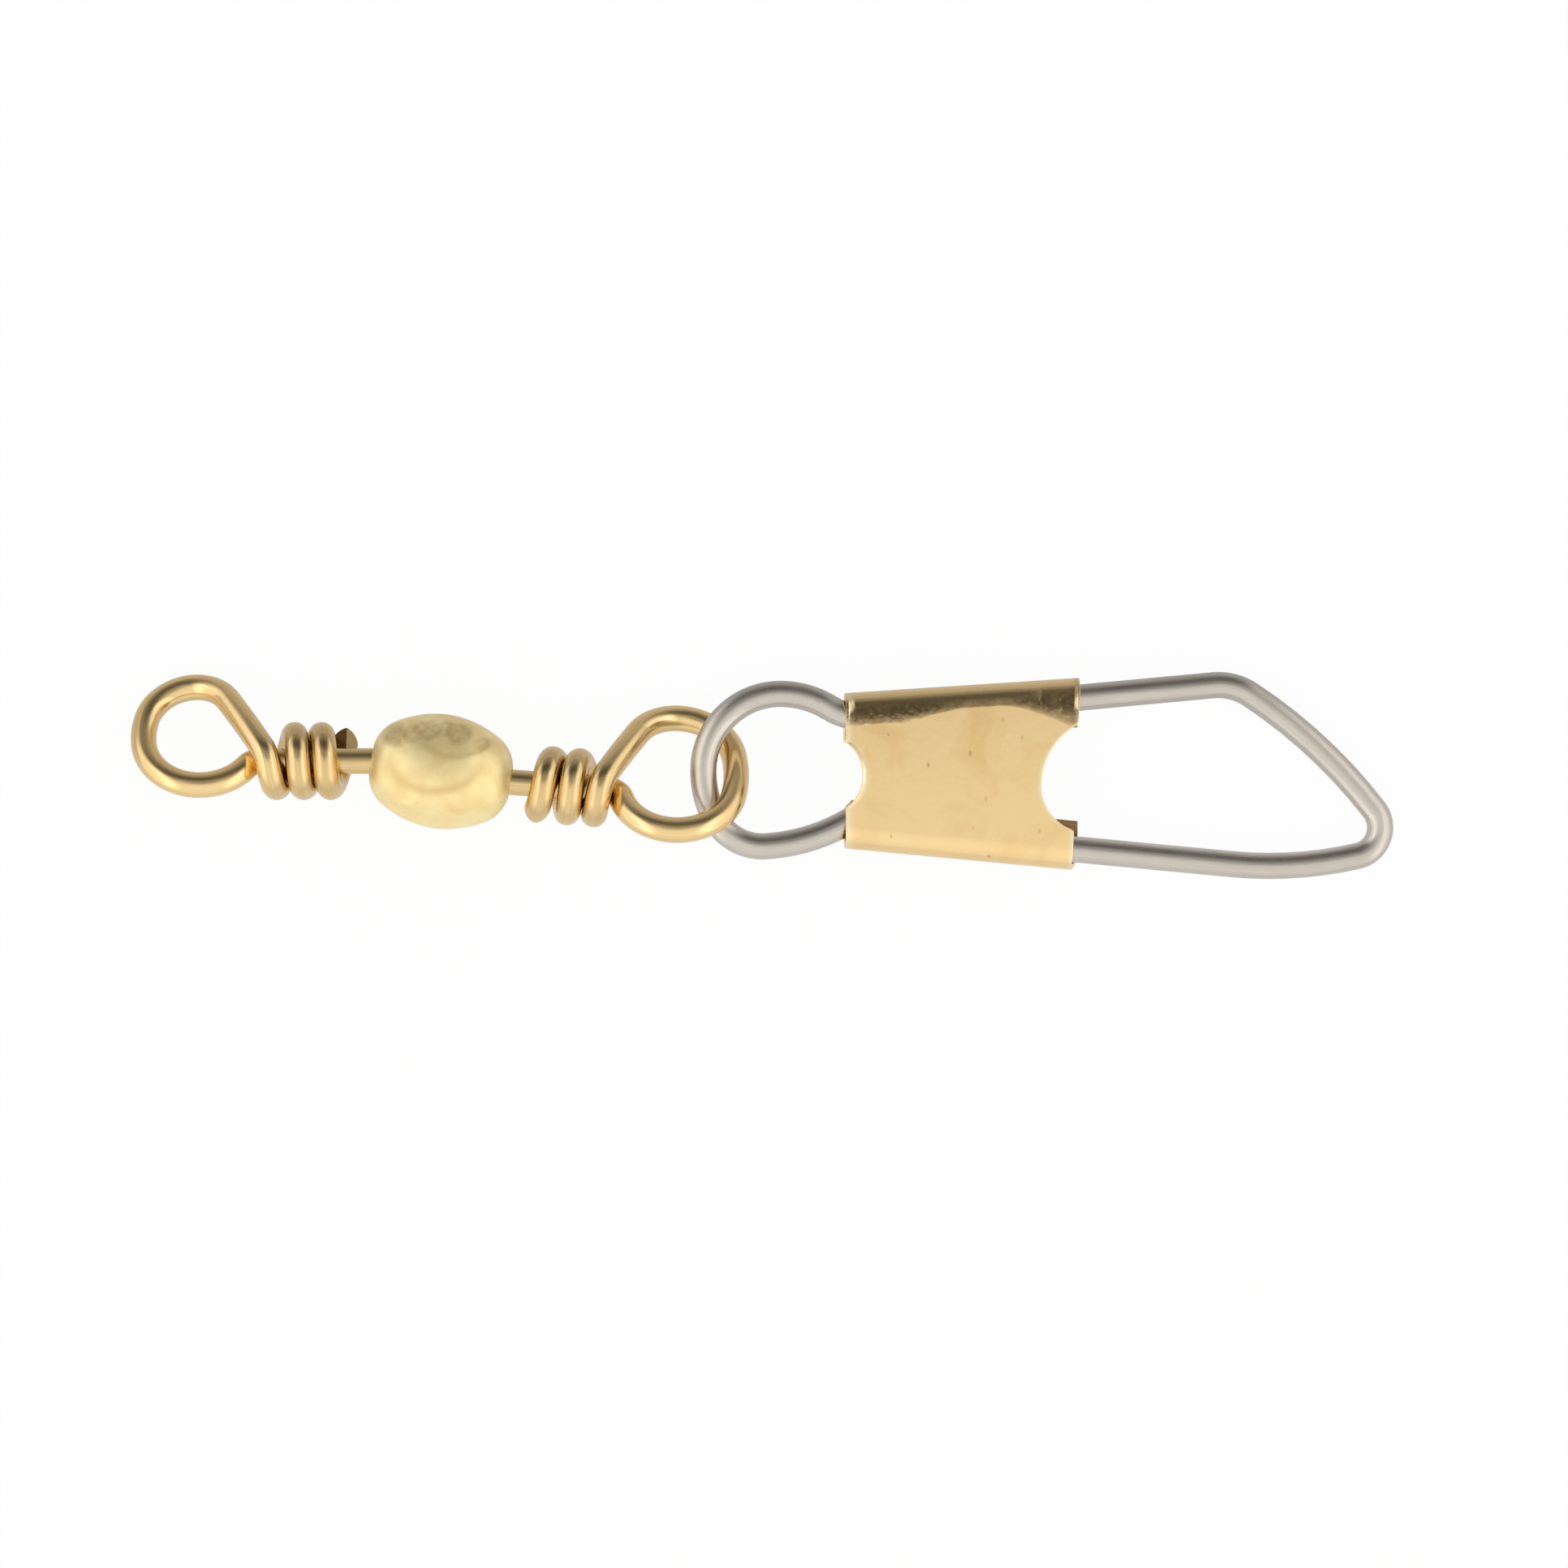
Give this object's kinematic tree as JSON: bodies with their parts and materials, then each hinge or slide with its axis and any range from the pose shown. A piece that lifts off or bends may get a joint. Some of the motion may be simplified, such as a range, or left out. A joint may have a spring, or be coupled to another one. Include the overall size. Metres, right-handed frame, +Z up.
{
  "type": "fishing snap swivel",
  "caption": "Brass barrel swivel with two wrapped wire eyes, linked to a stainless spring wire snap held in a folded brass clip plate.",
  "frame": {"origin": "middle of the part's footprint on the table it lies on", "axes": "+X from the line eye to the snap's tip, +Y from the gate leg to the through leg of the snap, +Z up from the table, through the clip plate's front face"},
  "size_m": [0.06, 0.0098, 0.0055],
  "materials": {
    "barrel_brass": "satin, softly dimpled from tumbling",
    "eye_brass": "satin drawn wire",
    "clip_brass": "polished rolled strip with fine specks",
    "spring_steel": "drawn stainless spring wire, fine lengthwise lines"
  },
  "bodies": {
    "snap": {"snap_wire": "spring_steel", "clip_plate": "clip_brass"},
    "gate": {"gate_leg": "spring_steel"},
    "snap_eye": {"snap_eye": "eye_brass"},
    "barrel": {"barrel": "barrel_brass"},
    "line_eye": {"line_eye": "eye_brass"}
  },
  "joints": [
    {"name": "gate_squeeze", "type": "hinge", "parent": "snap", "child": "gate", "pos_m": [0.02812, -0.00322, 0.00078], "axis": [0.0576, 0, 0.9983], "range_deg": [-8, 0], "stiffness_Nm_per_rad": 0.05},
    {"name": "snap_link", "type": "hinge", "parent": "snap", "child": "snap_eye", "pos_m": [-0.00242, 0.00021, 0.00256], "axis": [0, 1, 0], "range_deg": [-45, 50]},
    {"name": "barrel_spin", "type": "hinge", "parent": "snap_eye", "child": "barrel", "pos_m": [-0.01219, -0.0003, 0.00277], "axis": [0.9959, -0.0731, 0.0523], "continuous": true},
    {"name": "line_eye_spin", "type": "hinge", "parent": "barrel", "child": "line_eye", "pos_m": [-0.01825, 0.00068, 0.00277], "axis": [-1, 0, 0], "continuous": true}
  ]
}
